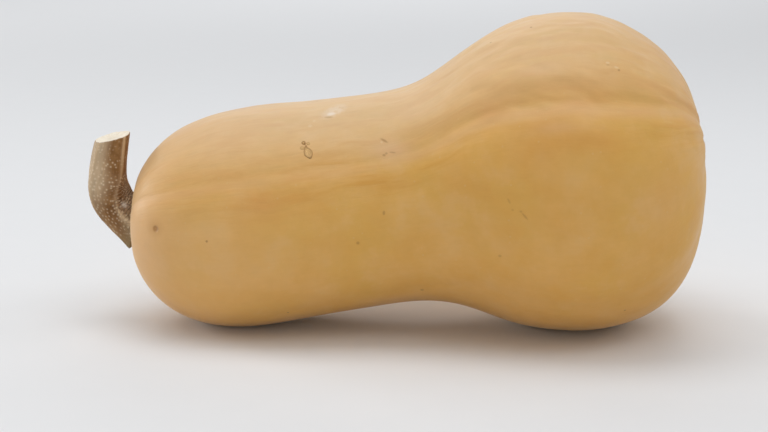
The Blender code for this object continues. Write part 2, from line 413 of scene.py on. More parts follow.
def closed_surface(name, rings, first, last, material, features):
    """A closed piece from rings[i, j]: i runs along it, j round it, and each end is one point.

    features are arrays over the rings that the material reads. An end takes its ring's mean.
    """
    rows, around = rings.shape[:2]
    points = np.concatenate([rings.reshape(-1, 3), [first, last]])
    j = np.arange(around)
    end = (rows - 1) * around
    tip = np.full(around, rows * around + 1)
    far_fan = stack(tip, end + (j + 1) % around, end + j)
    mesh = bpy.data.meshes.new(name)
    mesh.from_pydata(points.tolist(), [], net(rows, around) + far_fan.tolist())
    for feature, values in features.items():
        values = np.broadcast_to(values, (rows, around) + values.shape[2:])
        flat = values.reshape(rows * around, -1)
        flat = np.concatenate([flat, [flat[:around].mean(axis=0), flat[-around:].mean(axis=0)]])
        kind, field = ("FLOAT_VECTOR", "vector") if flat.shape[1] == 3 else ("FLOAT", "value")
        mesh.attributes.new(feature, kind, "POINT").data.foreach_set(field, flat.ravel())
    shape = bmesh.new()
    shape.from_mesh(mesh)
    bmesh.ops.recalc_face_normals(shape, faces=shape.faces[:])
    shape.to_mesh(mesh)
    shape.free()
    mesh.shade_smooth()
    mesh.materials.append(material)
    return placed(name, mesh)


# ------ materials


class Finish:
    """A material under construction: each method adds a node and gives back its output."""

    def __init__(self, name, roughness):
        self.material = bpy.data.materials.new(name)
        self.material.use_nodes = True
        self.tree = self.material.node_tree
        self.shader = self.tree.nodes["Principled BSDF"]
        self.shader.inputs["Roughness"].default_value = roughness
        self.place = self.add("ShaderNodeTexCoord").outputs["Object"]

    def add(self, kind, inputs=None, **settings):
        node = self.tree.nodes.new(kind)
        for setting, value in settings.items():
            setattr(node, setting, value)
        for socket, value in (inputs or {}).items():
            self.put(node.inputs[socket], value)
        return node

    def put(self, socket, value):
        if isinstance(value, bpy.types.NodeSocket):
            self.tree.links.new(value, socket)
        elif isinstance(value, tuple) and len(value) == 3 and socket.type == "RGBA":
            socket.default_value = (*value, 1)
        else:
            socket.default_value = value

    def feature(self, name, output="Vector"):
        return self.add("ShaderNodeAttribute", attribute_name=name).outputs[output]

    def parts(self, vector):
        return self.add("ShaderNodeSeparateXYZ", {0: vector}).outputs

    def stretched(self, vector, scale):
        return self.add("ShaderNodeMapping", {"Vector": vector, "Scale": scale}).outputs[0]

    def noise(self, vector, scale, detail=2.0, roughness=0.5):
        inputs = {"Vector": vector, "Scale": scale, "Detail": detail, "Roughness": roughness}
        return self.add("ShaderNodeTexNoise", inputs).outputs["Fac"]

    def cells(self, vector, scale):
        return self.add("ShaderNodeTexVoronoi", {"Vector": vector, "Scale": scale}).outputs

    def level(self, value, low, high, to_low=0.0, to_high=1.0):
        """Smooth step of the value from low to high."""
        inputs = {0: value, 1: low, 2: high, 3: to_low, 4: to_high}
        node = self.add("ShaderNodeMapRange", inputs, interpolation_type="SMOOTHSTEP")
        return node.outputs[0]

    def math(self, operation, first, second=0.0):
        return self.add("ShaderNodeMath", {0: first, 1: second}, operation=operation).outputs[0]

    def mix(self, share, first, second):
        node = self.add("ShaderNodeMix", data_type="RGBA")
        for socket, value in ((0, share), (6, first), (7, second)):
            self.put(node.inputs[socket], value)
        return node.outputs[2]

    def tint(self, colour, share, strength, tone):
        """The colour under a tone whose share is multiplied by a strength."""
        return self.mix(self.math("MULTIPLY", share, strength), colour, tone)

    def scaled(self, colour, by):
        node = self.add("ShaderNodeVectorMath", {0: colour, "Scale": by}, operation="SCALE")
        return node.outputs[0]

    def spot(self, centre, radii, lean=0.0, edge=0.5):
        """1 inside an ellipsoid at a place on the piece, 0 outside it, soft over the edge's share.

        radii are along X, across it and up it, before the ellipsoid leans about Y.
        """
        inputs = {"Vector": self.place, "Location": centre, "Rotation": (0, lean, 0), "Scale": radii}
        local = self.add("ShaderNodeMapping", inputs, vector_type="TEXTURE").outputs[0]
        reach = self.add("ShaderNodeVectorMath", {0: local}, operation="LENGTH").outputs["Value"]
        return self.level(reach, 1 - edge, 1 + edge, 1.0, 0.0)

    def bumps(self, *heights):
        """Adds the heights, given in metres at full value, to the shader's normal one after another."""
        normal = None
        for height, depth in heights:
            bump = self.add("ShaderNodeBump", {"Height": height, "Distance": depth})
            if normal is not None:
                self.put(bump.inputs["Normal"], normal)
            normal = bump.outputs[0]
        self.put(self.shader.inputs["Normal"], normal)


RIND_YELLOW = (0.725, 0.41, 0.094)
RIND_PINK = (0.755, 0.428, 0.126)
RIND_WARM = (0.715, 0.378, 0.082)
RIND_CREAM = (0.765, 0.456, 0.16)
RIND_STREAK = (0.665, 0.342, 0.072)
RIND_PALE = (0.79, 0.56, 0.27)
PATCH_TONES = (0.65, 0.302, 0.07), (0.62, 0.375, 0.078), (0.76, 0.455, 0.22)

# Painted sheen: a pale colour mixed into the rind's upper side, where the light falls from above, and its
# share where it is strongest
PAINTED_SHEEN_COLOUR = (0.76, 0.73, 0.67)
PAINTED_SHEEN = 0.3
PAINTED_SHEEN_FROM = 0.3
PAINTED_SHEEN_SOFTNESS = 0.75

# The rind's gloss, and its soft sheen
RIND_GLOSS = 0.25
RIND_SHEEN = 0.15
RIND_SHEEN_ROUGHNESS = 0.35

# Small marks where the photograph shows them: place and half sizes in millimetres, lean about Y,
# strength
PALE_MARKS = (
    ((-31.4, -23.7, 84.8), (0.8, 0.9, 0.7), 0.0, 0.3),
    ((-30, -21.4, 86.4), (0.6, 0.7, 0.5), 0.0, 0.3),
    ((80.7, -40.3, 111.5), (0.8, 1, 0.4), 0.1, 0.45),
    ((83.8, -40.8, 109.9), (1, 1, 0.4), 0.3, 0.45),
    ((-3.3, -33, 80.1), (0.5, 0.8, 0.4), 0.0, 0.35),
)
DARK_MARKS = (
    ((-2.3, -32.7, 80.7), (1.6, 1.5, 0.4), 0.45, 0.5),
    ((-2.3, -35.9, 75.6), (0.6, 0.8, 0.4), 0.0, 0.45),
    ((-1.4, -35.7, 76.2), (0.5, 0.8, 0.4), 0.0, 0.4),
    ((1, -35.7, 76.6), (1.2, 1, 0.3), 0.1, 0.35),
    ((80.6, -41.1, 110.7), (0.8, 0.8, 0.4), 0.0, 0.35),
    ((84.8, -41.5, 108.9), (0.5, 0.8, 0.4), 0.0, 0.5),
    ((12.4, -29, 20.9), (0.7, 0.8, 0.6), 0.0, 0.5),
    ((-12, -42.7, 42.8), (0.6, 0.8, 0.6), 0.0, 0.45),
    ((-2.1, -42.8, 54.6), (0.5, 0.8, 0.8), 0.0, 0.45),
    ((41.6, -52.2, 40.5), (0.6, 0.8, 0.5), 0.0, 0.35),
    ((44.3, -58.3, 62.7), (0.4, 1.2, 1.1), -0.5, 0.25),
    ((45.7, -58.8, 59.4), (0.5, 1, 0.4), 0.0, 0.2),
    ((48.7, -59.6, 59.1), (0.5, 1, 0.4), 0.0, 0.28),
    ((50.2, -59.7, 57.3), (1.6, 1, 0.4), 0.85, 0.35),
)


def rind_finish():
    """Tan rind: clouds and blotches of yellower and pinker tan, lengthwise streaks on its upper side,
    patches, specks and marks, and a painted sheen, a paler colour on its upper side where the light
    falls."""
    f = Finish("rind", 0.48)
    straight = f.feature("grain")
    waves = {"Vector": f.stretched(straight, (1, 1, 0.4)), "Scale": 90.0, "Detail": 2.0}
    waves = f.add("ShaderNodeTexNoise", waves).outputs["Color"]
    sway = f.add("ShaderNodeVectorMath", {0: waves, 1: (0.5, 0.5, 0.5)}, operation="SUBTRACT").outputs[0]
    bent = {0: sway, 1: (0.007, 0.007, 0.0), 2: straight}
    grain = f.add("ShaderNodeVectorMath", bent, operation="MULTIPLY_ADD").outputs[0]
    lines = f.feature("lined", "Fac")
    patches = f.parts(f.feature("tints"))
    pale, painted_sheen = f.feature("pale", "Fac"), f.feature("painted_sheen", "Fac")
    clouds = f.noise(f.place, 26.0, 4.0, 0.55)
    mottle = f.noise(f.place, 190.0, 3.0, 0.6)
    blotches = f.noise(f.place, 75.0, 3.0, 0.6)
    streaky = f.noise(f.stretched(grain, (1, 1, 0.15)), 330.0, 4.0, 0.55)
    threads = f.noise(f.stretched(grain, (1, 1, 0.12)), 1300.0, 2.0, 0.5)

    colour = f.mix(f.level(clouds, 0.35, 0.65), RIND_YELLOW, RIND_PINK)
    colour = f.tint(colour, f.level(blotches, 0.45, 0.7), 0.65, RIND_WARM)
    colour = f.tint(colour, f.level(blotches, 0.5, 0.3), 0.65, RIND_CREAM)
    colour = f.tint(colour, f.level(streaky, 0.42, 0.7), lines, RIND_STREAK)
    # The last tone mixed in is the painted sheen on the upper side
    for share, tone in zip((*patches, pale, painted_sheen), (*PATCH_TONES, RIND_PALE, PAINTED_SHEEN_COLOUR)):
        colour = f.mix(share, colour, tone)

    deep = f.math("MULTIPLY", f.math("SUBTRACT", streaky, 0.5), f.math("MULTIPLY", lines, 0.2))
    shade = f.math("ADD", deep, 1.0)
    for noise, weight in ((threads, 0.04), (mottle, 0.08)):
        lift = f.math("MULTIPLY", f.math("SUBTRACT", noise, 0.5), weight)
        shade = f.math("ADD", shade, lift)
    colour = f.scaled(colour, shade)

    dots = f.cells(f.place, 310.0)
    dot = f.level(dots["Distance"], 0.1, 0.17, 1.0, 0.0)
    some = f.level(f.parts(dots["Color"])[0], 0.7, 0.74)
    colour = f.tint(colour, f.math("MULTIPLY", dot, some), 0.22, (0.72, 0.5, 0.24))
    pores = f.cells(f.place, 75.0)
    pore = f.level(pores["Distance"], 0.022, 0.045, 1.0, 0.0)
    few = f.level(f.parts(pores["Color"])[1], 0.6, 0.62)
    pore = f.math("MULTIPLY", pore, few)
    colour = f.tint(colour, pore, 0.55, (0.3, 0.14, 0.045))

    # Marks that the photograph shows: a brown pit, a pale graze, whitish specks, brown scratches
    pit = f.spot((-0.0904, -0.036, 0.0462), (0.0012, 0.0013, 0.0011))
    stain = f.spot((-0.0908, -0.0358, 0.0466), (0.0034, 0.0034, 0.0028), edge=0.8)
    colour = f.tint(colour, stain, 0.25, (0.44, 0.2, 0.05))
    colour = f.tint(colour, pit, 0.6, (0.33, 0.14, 0.035))
    graze = f.spot((-0.0226, -0.016, 0.0895), (0.0048, 0.0062, 0.0017), lean=-0.42, edge=0.6)
    ragged = f.level(f.noise(f.place, 650.0, 3.0), 0.28, 0.6, 0.35, 1.0)
    graze = f.math("MULTIPLY", graze, ragged)
    colour = f.tint(colour, graze, 0.42, (0.86, 0.74, 0.62))
    core = f.spot((-0.0236, -0.0182, 0.0887), (0.0017, 0.0016, 0.0005), lean=-0.15)
    colour = f.tint(colour, core, 0.5, (0.9, 0.8, 0.7))
    # Painted shadow: a darker brown line under the raised graze, where it shades the rind
    under = f.spot((-0.0241, -0.02, 0.0876), (0.0017, 0.001, 0.0004))
    colour = f.tint(colour, under, 0.4, (0.4, 0.22, 0.07))
    for marks, tone in ((PALE_MARKS, (0.82, 0.64, 0.4)), (DARK_MARKS, (0.34, 0.16, 0.045))):
        for centre, radii, lean, share in marks:
            place, reach = (tuple(v * 0.001 for v in part) for part in (centre, radii))
            colour = f.tint(colour, f.spot(place, reach, lean), share, tone)

    f.put(f.shader.inputs["Base Color"], colour)
    f.put(f.shader.inputs["Roughness"], f.level(mottle, 0.3, 0.7, 0.46, 0.56))
    f.shader.inputs["Specular IOR Level"].default_value = RIND_GLOSS
    f.shader.inputs["Sheen Weight"].default_value = RIND_SHEEN
    f.shader.inputs["Sheen Roughness"].default_value = RIND_SHEEN_ROUGHNESS
    f.bumps(
        (f.math("MULTIPLY", streaky, lines), 0.00016), (threads, 0.00003), (mottle, 0.00006),
        (f.noise(f.place, 1500.0, 2.0), 0.00002), (pit, -0.0004), (pore, -0.00012), (graze, 0.0001),
    )
    return f.material


BARK_BROWNS = (0.24, 0.116, 0.038), (0.32, 0.168, 0.062)
BARK_RED = (0.14, 0.056, 0.02)
# Grey of the stem's -X side: partly weathered bark, partly painted light
BARK_GREY = (0.6, 0.445, 0.285)
BARK_OLIVE = (0.265, 0.195, 0.098)
BARK_RIDGE = (0.62, 0.44, 0.265)
BARK_CRACK = (0.05, 0.022, 0.013)
BARK_SPECK = (0.82, 0.66, 0.46)
BARK_WHITE = (0.68, 0.6, 0.52)
BARK_GLOSS = 0.2
CUT_CREAMS = (0.91, 0.83, 0.69), (0.83, 0.715, 0.56)
CUT_PITH = (0.8, 0.7, 0.56)

# Cork of the two scars: ridges, furrows, cracks
LOOP_CORK = (0.74, 0.47, 0.2), (0.48, 0.25, 0.075), (0.225, 0.105, 0.03)
DISC_CORK = (0.6, 0.4, 0.19), (0.3, 0.16, 0.06), (0.085, 0.038, 0.016)

PAPER_TONES = (0.79, 0.79, 0.8), (0.805, 0.804, 0.812)
PAPER_GLOSS = 0.2


def bark_finish():
    """Dry stem: grey-beige ridges, brown furrows, pale specks, dark crackle, cream cut face."""
    f = Finish("woody_stem", 0.72)
    fibre = f.feature("fibre")
    speck, crack, ridge = f.parts(f.feature("relief"))
    grey, red, green = f.parts(f.feature("tones"))
    cut, pith, white = f.parts(f.feature("cut"))
    strands = f.noise(f.stretched(fibre, (1, 1, 0.08)), 1500.0, 3.0, 0.6)
    blotch = f.noise(f.place, 330.0, 3.0, 0.55)

    colour = f.mix(f.level(blotch, 0.35, 0.68), *BARK_BROWNS)
    # grey is partly painted light, on the stem's -X side
    for share, tone in ((red, BARK_RED), (grey, BARK_GREY), (green, BARK_OLIVE), (ridge, BARK_RIDGE)):
        colour = f.mix(share, colour, tone)
    shade = f.math("ADD", f.math("MULTIPLY", strands, 0.6), 0.7)
    colour = f.scaled(colour, shade)
    for share, tone in ((crack, BARK_CRACK), (speck, BARK_SPECK), (white, BARK_WHITE)):
        colour = f.mix(share, colour, tone)
    rays = f.noise(f.stretched(f.feature("rays"), (1, 1, 0.12)), 6.0, 3.0, 0.6)
    face = f.mix(f.level(rays, 0.35, 0.7), *CUT_CREAMS)
    face = f.mix(pith, face, CUT_PITH)
    colour = f.mix(cut, colour, face)

    f.put(f.shader.inputs["Base Color"], colour)
    f.shader.inputs["Specular IOR Level"].default_value = BARK_GLOSS
    f.bumps((strands, 0.00016), (blotch, 0.0001), (f.noise(f.place, 2600.0, 2.0), 0.00004))
    return f.material


def cork_finish(name, ridges, furrows, cracks):
    """Cork: palest on the ridges, brown in the furrows, darkest in the cracks."""
    f = Finish(name, 0.82)
    height = f.feature("height", "Fac")
    crack = f.feature("crack", "Fac")
    grit = f.noise(f.place, 2100.0, 3.0, 0.6)
    colour = f.mix(height, furrows, ridges)
    colour = f.scaled(colour, f.level(grit, 0.2, 0.8, 0.8, 1.15))
    colour = f.mix(crack, colour, cracks)
    f.put(f.shader.inputs["Base Color"], colour)
    f.bumps((grit, 0.00012))
    return f.material


def paper_finish():
    """Plain pale matt paper under the squash."""
    f = Finish("paper", 0.9)
    fibres = f.noise(f.place, 60.0, 3.0)
    f.put(f.shader.inputs["Base Color"], f.mix(fibres, *PAPER_TONES))
    f.shader.inputs["Specular IOR Level"].default_value = PAPER_GLOSS
    return f.material


# ------ the rind

RIND_ROWS = 267
RIND_COLUMNS = 364

# Coloured patches: place, reach along and across the fruit, all in mm, strength, and which tint
WARM, OLIVE, PINK = range(3)
PATCHES = (
    (-48.5, -43.8, 57.5, 10, 5, 0.55, WARM), (-40.0, -43.0, 62.0, 16, 4, 0.2, WARM),
    (-74.4, -42.1, 52.3, 10, 5, 0.45, OLIVE), (-92.0, -36.0, 47.0, 5, 4, 0.2, WARM),
    (58.6, -56.1, 91.6, 9, 5, 0.3, WARM), (54.9, -59.6, 81.9, 16, 10, 0.3, WARM),
    (74.6, -60.2, 85.7, 12, 5, 0.4, WARM), (68.8, -52.7, 97.8, 9, 3, 0.45, WARM),
    (37.1, -44.8, 93.6, 8, 3.5, 0.5, WARM), (29.9, -51.5, 66.9, 14, 7, 0.25, WARM),
    (29.8, -43.2, 88.8, 9, 4, 0.35, OLIVE), (58.0, -51.4, 97.6, 5, 1.5, 0.5, OLIVE),
    (92.2, -45.1, 99.8, 14, 4, 0.4, OLIVE), (80.1, -38.3, 113.1, 5, 2, 0.55, OLIVE),
    (69.2, -62.6, 78.1, 12, 6, 0.3, OLIVE), (97.0, -52.0, 88.0, 10, 5, 0.35, OLIVE),
    (57.3, -42.4, 109.7, 9, 3, 0.35, PINK), (61.4, -57.7, 89.7, 12, 2, 0.3, PINK),
    (1.6, -35.7, 76.8, 9, 4, 0.55, PINK), (-4.0, -34.5, 79.5, 8, 4, 0.3, PINK),
    (107.6, -12.9, 109.7, 16, 20, 0.3, PINK), (-96.0, -24.0, 40.0, 14, 22, 0.45, PINK),
    (10.9, -26.4, 91.6, 14, 7, 0.3, PINK), (91.3, -59.5, 74.7, 14, 9, 0.22, OLIVE),
    (2.0, -38.0, 67.0, 30, 4, 0.3, WARM), (99.3, -56.9, 63.1, 12, 12, 0.2, PINK),
)
RANDOM_PATCHES = 80
PATCH_SEED = 7

# Bands beside the deepest groove, partly the rind's own tints and partly painted light and shade: a
# paler pink on the lower wall, which faces the light, and a darker warm tint on the upper wall, which
# is in shade. Tint, strength, degrees off it, half width, share left on the neck
GROOVE_TINTS_AND_PAINTED_LIGHT = ((PINK, 0.38, -3.5, 3.0, 0.5), (WARM, 0.3, 6.0, 4.5, 0.0))

# The pale spot that lay on the ground: place, reach, strength. The pale rim round the stem: radius,
# half width, strength, reach along the fruit
GROUND_SPOT = (0.066, 0.006, 0.0), (0.034, 0.03, 0.02), 0.4
STEM_RIM = (0.015, 0.005, 0.35, 0.05)

# Strength and reach of the neck's pink, strength of the bulb's warm tint, share of the olive kept
NECK_PINK, NECK_PINK_REACH, BULB_WARM, OLIVE_KEPT = 0.35, 0.11, 0.1, 0.6


def tints(points, along, ribs):
    """Strengths of the warm, olive and pink tints: bell curves about each patch's place, and bands
    beside the deepest groove, a paler pink on its lit lower wall and a darker warm tint on its shaded
    upper wall, partly painted light and shade. The neck's end is pinker, the bulb is warmer."""
    total = np.zeros(points.shape)
    draw = np.random.default_rng(PATCH_SEED)
    patches = [np.array(p[:3]) * 0.001 for p in PATCHES]
    rest = [p[3:] for p in PATCHES]
    flat = points.reshape(-1, 3)
    for _ in range(RANDOM_PATCHES):
        candidate = flat[draw.integers(len(flat))]
        reach, strength = draw.uniform(4, 14), draw.uniform(0.15, 0.5)
        if candidate[1] > -0.01 or candidate[2] < 0.02:
            patches.append(candidate)
            tint = int(draw.choice(3, p=(0.4, 0.2, 0.4)))
            rest.append((reach, reach * 0.4, strength, tint))
    for place, (reach, across, strength, tint) in zip(patches, rest):
        off = (points - place) / (np.array([reach, across, across]) * 0.001)
        total[..., tint] += strength * np.exp(-(off**2).sum(axis=-1))
    # Painted light and shade along the deepest groove, with its own tints: pink on the lit lower wall,
    # warm on the shaded upper wall
    off = np.degrees(off_groove(along, ribs, GROOVES[0, 0]))
    for tint, strength, middle, width, on_neck in GROOVE_TINTS_AND_PAINTED_LIGHT:
        total[..., tint] += strength * bell(off - middle, width) * bulb_share(along, on_neck)
    total[..., PINK] += NECK_PINK * (1 - eased(along / NECK_PINK_REACH))
    total[..., WARM] += BULB_WARM * bulb_share(along)
    total[..., OLIVE] *= OLIVE_KEPT
    return np.clip(total, 0, 0.9)


def pale_places(points, along, radius):
    """The spot that lay on the ground, and the skin's paler rim round the stem."""
    place, reach, strength = GROUND_SPOT
    off = (points - np.array(place)) / np.array(reach)
    ground = strength * np.exp(-(off**2).sum(axis=-1))
    middle, width, strength, limit = STEM_RIM
    rim = strength * bell(radius - middle, width) * (along < limit)
    return np.clip(ground + rim, 0, 0.8)


def make_rind(finish):
    """The rind's rings, evenly spaced by arc length, and the shift that sets them in place."""
    fine = np.linspace(0, np.pi, PROFILE_STEPS)
    arcs = arc_along(fine)
    turn = np.interp((np.arange(RIND_ROWS) + 0.5) / RIND_ROWS * arcs[-1], arcs, fine)[:, None]
    angle = round_about(RIND_COLUMNS)
    turn, angle = np.broadcast_arrays(turn, angle)
    rings = rind_points(turn, angle)
    tips = np.array([[1e-4], [np.pi - 1e-4]]) + 0 * angle[:1]
    first, last = rind_points(tips, angle[:1]).mean(axis=1)
    low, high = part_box("fruit")
    shift = (np.array(low) + np.array(high) - rings.min(axis=(0, 1)) - rings.max(axis=(0, 1))) / 2
    shift[2] = 0
    rings = set_down(rings + shift)
    along, radius = fruit_profile(turn)
    ribs = rib_angle(along, radius * np.cos(angle), radius * np.sin(angle))
    above = np.sin(angle) * np.sqrt(np.sin(turn))
    features = {
        "grain": stack(GRAIN_RADIUS * np.cos(ribs), GRAIN_RADIUS * np.sin(ribs), arc_along(turn)),
        "lined": lined(along, angle),
        "tints": tints(rings, along, ribs),
        "pale": pale_places(rings, along, radius),
        # Painted sheen: paler towards the top of the rind, where the light falls
        "painted_sheen": PAINTED_SHEEN * eased((above - PAINTED_SHEEN_FROM) / PAINTED_SHEEN_SOFTNESS),
    }
    piece = closed_surface("fruit_rind", rings, first + shift, last + shift, finish, features)
    return piece, shift


# ------ corky scars

UNDER_RINGS = (0.7, 0.4, 0.15)
BLOSSOM_SCAR_RADIUS = 0.0058

# The neck scar's loops: middle along and across, half length and width, width and strength of the
# line. Its folds, and a painted shadow inside the big loop's right side: middle along and across, half
# length and width
SCAR_LOOPS = (
    (0.00192, 0.00012, 0.00262, 0.00128, 0.00024, 0.85), (-0.00358, 0.0, 0.00072, 0.00062, 0.00026, 1.0),
    (-0.00139, -0.00129, 0.0008, 0.00062, 0.00017, 0.34),
    (-0.00237, 0.0016, 0.0008, 0.00055, 0.00015, 0.34),
)
SCAR_FOLDS = (
    (0.0012, -0.00035, 0.0014, 0.00024), (0.0025, -0.00075, 0.0013, 0.00026),
    (0.0003, 0.00035, 0.0005, 0.0003),
)
SCAR_BRIDGES = (-0.00255, 0.00026, 0.0006, 0.00045), (-0.0015, 0.0004, 0.00055, 0.0005)
SCAR_PAINTED_SHADOW = (0.0018, 0.001, 0.0014, 0.0004)
SCAR_FOOT = (0.0043, -0.00015, 0.00045, 0.001)
SCAR_TIP = (-0.0036, -0.0005, 0.0005, 0.0005)


def disc(columns, rows):
    """Reach and angle of a disc's rings about its middle. The last rings close it underneath."""
    reach = np.concatenate([np.linspace(0, 1, rows + 1)[1:], UNDER_RINGS])[:, None]
    return reach, round_about(columns)


def make_neck_scar(finish, shift):
    """A lens of cork on the neck, seen as a long loop with a small ring above it.

    Rings of an ellipse with p along its length and q across it, in metres. Its height is a ridge
    along each loop, cork between them, and a rim that dips under the rind. The last rings close it
    underneath.
    """
    half_length, half_width, lean = NECK_SCAR
    reach, phi = disc(150, 64)
    p, q = half_length * reach * np.cos(phi), half_width * reach * np.sin(phi)
    wobble = 0.00009 * np.sin(p / 0.00062 + 1.1) + 0.00008 * np.sin(q / 0.00047 + p / 0.0011)

    def loop(middle, across, length, width):
        """Distance, roughly, from an ellipse: (|(p/a, q/b)| - 1) min(a, b) + wobble."""
        r = np.hypot((p - middle) / length, (q - across) / width)
        return (r - 1) * min(length, width) + wobble

    def dab(middle, across, length, width):
        """Bell curve exp(-(p/a)^2 - (q/b)^2) about a place."""
        return np.exp(-(((p - middle) / length) ** 2) - ((q - across) / width) ** 2)

    def within(distance, edge, softness):
        """1 / (1 + exp((distance - edge) / softness)): 1 inside the edge, 0 outside it."""
        return 1 / (1 + np.exp(np.clip((distance - edge) / softness, -30, 30)))

    loops = [loop(*shape) for *shape, _, _ in SCAR_LOOPS]
    lines = [strength * bell(line, width) for line, (*_, width, strength) in zip(loops, SCAR_LOOPS)]
    ridge = np.maximum.reduce(lines)
    inside = within(np.minimum.reduce(loops), 0.0001, 0.00014)
    inner = within(loops[0], -0.0004, 0.00012)
    folds = np.maximum.reduce([dab(*place) for place in SCAR_FOLDS]) * inner
    # Painted shadow inside the big loop's right side, laid on as darker cork
    shade = dab(*SCAR_PAINTED_SHADOW) * inner
    bridge = np.maximum.reduce([dab(*place) for place in SCAR_BRIDGES])
    height = 0.00022 * ridge + 0.00008 * inside + 0.00015 * folds + 0.0001 * bridge
    bare = 1 - np.maximum.reduce([inside, ridge, bridge])
    height = height - 0.00014 * bare - 0.0003 * reach**8
    height[-len(UNDER_RINGS):] = -0.0008
    rise = p * math.sin(lean) + q * math.cos(lean)
    x, y, z = NECK_SCAR_PLACE
    scar_along = x - shift[0]
    along = scar_along + p * math.cos(lean) - q * math.sin(lean)
    scar_angle = math.atan2(z - spline(STATIONS[:, 0], STATIONS[:, 2], np.array([scar_along]))[0], -y)
    radius = fruit_profile(turn_at(np.array([scar_along])))[1][0]
    rings = rind_points(turn_at(along), scar_angle + rise / radius, height) + shift
    middle = rind_points(turn_at(np.array([[scar_along]])), np.array([[scar_angle]]))[0, 0] + shift
    outward = np.array([0.0, -math.cos(scar_angle), math.sin(scar_angle)])
    crack = ridge * (0.34 * (1 - folds) + 0.4 * dab(*SCAR_FOOT))
    # The crack tone also carries the painted shadow
    crack = crack + 0.42 * bridge + 0.15 * shade + 0.25 * dab(*SCAR_TIP)
    features = {
        # The painted shadow makes the cork browner here
        "height": np.clip(inside * 0.75 + folds * 0.45 - 0.3 * shade, 0, 1),
        "crack": np.clip(crack, 0, 0.85),
    }
    first, last = middle + 0.0001 * outward, middle - 0.0008 * outward
    return closed_surface("neck_scar", rings, first, last, finish, features)


def make_blossom_scar(finish, shift):
    """The corky disc where the blossom was: polar rings about its middle on the blossom end.

    Its height is a low rim, fine radial furrows cos(n phi) and a small knob in the middle, and its
    edge dips under the rind.
    """
    reach, phi = disc(180, 60)
    turns = phi / (2 * np.pi)
    wander = 1 + 0.1 * lattice(0 * phi + 0.5, turns, 4, 9, 61)
    rho = BLOSSOM_SCAR_RADIUS * reach * wander
    out, up = rho * np.cos(phi), SCAR_LIFT + rho * np.sin(phi)
    fine = np.linspace(np.pi / 2, np.pi, 4000)
    radii = fruit_profile(fine)[1]
    turn = np.interp(np.hypot(out, up), radii[::-1], fine[::-1])
    angle = np.arctan2(up, out)
    rough = lattice(reach + 0 * phi, turns + 0 * reach, 12, 40, 62)
    rays = lattice(reach * 0.5 + 0 * phi, turns + 0.02 * rough, 3, 34, 63)
    rim, knob = bell(reach - 0.7, 0.1), bell(reach, 0.13)
    height = 0.00022 * rim + 0.00045 * knob + 0.0001 * rays * reach + 0.00006 * rough + 0.00014
    height = height - 0.0009 * eased((reach - 0.8) / 0.2)
    height[-len(UNDER_RINGS):] = -0.001
    rings = rind_points(turn, angle, height) + shift
    middle = rings[:1].mean(axis=(0, 1))
    crack = np.clip(-rays * 0.9 - 0.25, 0, 1) * eased(reach * 4) + 0.9 * bell(reach - 0.26, 0.07)
    features = {
        "height": np.clip(0.45 + 0.35 * rough + 0.4 * rim + 0.5 * knob, 0, 1),
        "crack": np.clip(crack * 0.8 + 0.8 * eased((reach - 0.78) / 0.15), 0, 0.95) + 0 * phi,
    }
    under = middle - np.array([0.0016, 0, 0])
    return closed_surface("blossom_scar", rings, middle, under, finish, features)


# ------ the stem

STALK_ROWS = 200
STEM_COLUMNS = 230
FOOT_ROWS = 3
RIM_ROWS = 5
CUT_ROWS = 26
SPECK_CELLS = (27, 25)
CRACKLE_CELLS = (26, 24)

# What stands out from the bark, and how deep it cracks, as shares of the radius
CREST_RISE, STRAND_RISE, WRINKLE_RISE, SPECK_RISE, CRACKLE_DEPTH = 0.026, 0.01, 0.012, 0.016, 0.035

# The bend's dark and wrinkled inner side: bearing round the stem and half width
INNER_SIDE = (math.radians(205), 1.15)

# Whitish mark: share along the stem, turns round it, half length, half width, strength
WHITE_MARK = (0.235, 0.655, 0.0016, 0.001, 0.75)
FIBRE_RADIUS = 0.0072
FOOT_SINK = np.array([0.0012, 0, 0])


def stem_frame(share):
    """Middle of the stem, the two directions across it and the one along it, at shares of it."""
    lengths = np.linalg.norm(np.diff(STEM_LINE, axis=0), axis=1)
    knots = np.append(0, np.cumsum(lengths)) / lengths.sum()

    def line(at):
        return np.stack([spline(knots, STEM_LINE[:, i], at) for i in range(3)], axis=1)

    ahead = line(np.clip(share + 1e-3, 0, 1)) - line(np.clip(share - 1e-3, 0, 1))
    ahead /= np.linalg.norm(ahead, axis=1)[:, None]
    side = np.cross(ahead, (0, 1, 0))
    side /= np.linalg.norm(side, axis=1)[:, None]
    return line(share), side, np.cross(side, ahead), ahead


def round_stem(share, out, angle, forward):
    """Points out from the stem's middle line at angles round it, and forward along it."""
    middle, side, above, ahead = (part[:, None] for part in stem_frame(share))
    across = (out * np.cos(angle))[..., None] * side + (out * np.sin(angle))[..., None] * above
    return middle + across + forward[..., None] * ahead


def cut_plane(out, angle):
    """Height of the cut's plane along the stem: r (cos a tan tilt + sin a tan lean) - drop."""
    return out * (np.cos(angle) * math.tan(CUT_TILT) + np.sin(angle) * math.tan(CUT_LEAN)) - CUT_DROP


def nearest(share, turns, cells_along, cells_round, seed):
    """Distances in metres from each point to the nearest and the second nearest of random seeds, one
    in each cell of a lattice on the unrolled stem, which closes round."""
    seeds = np.random.default_rng(seed).uniform(0.08, 0.92, (cells_along + 2, cells_round, 2))
    u, v = share * cells_along, (turns % 1) * cells_round
    i, j = np.floor(u).astype(int), np.floor(v).astype(int)
    first = np.full(u.shape, 1.0)
    second = np.full(u.shape, 1.0)
    for a in (-1, 0, 1):
        for b in (-1, 0, 1):
            at = seeds[np.clip(i + a + 1, 0, cells_along + 1), (j + b) % cells_round]
            along = (i + a + at[..., 0] - u) * STEM_LENGTH / cells_along
            across = (j + b + at[..., 1] - v) * STEM_GIRTH / cells_round
            off = np.hypot(along, across)
            second = np.minimum(second, np.maximum(first, off))
            first = np.minimum(first, off)
    return first, second


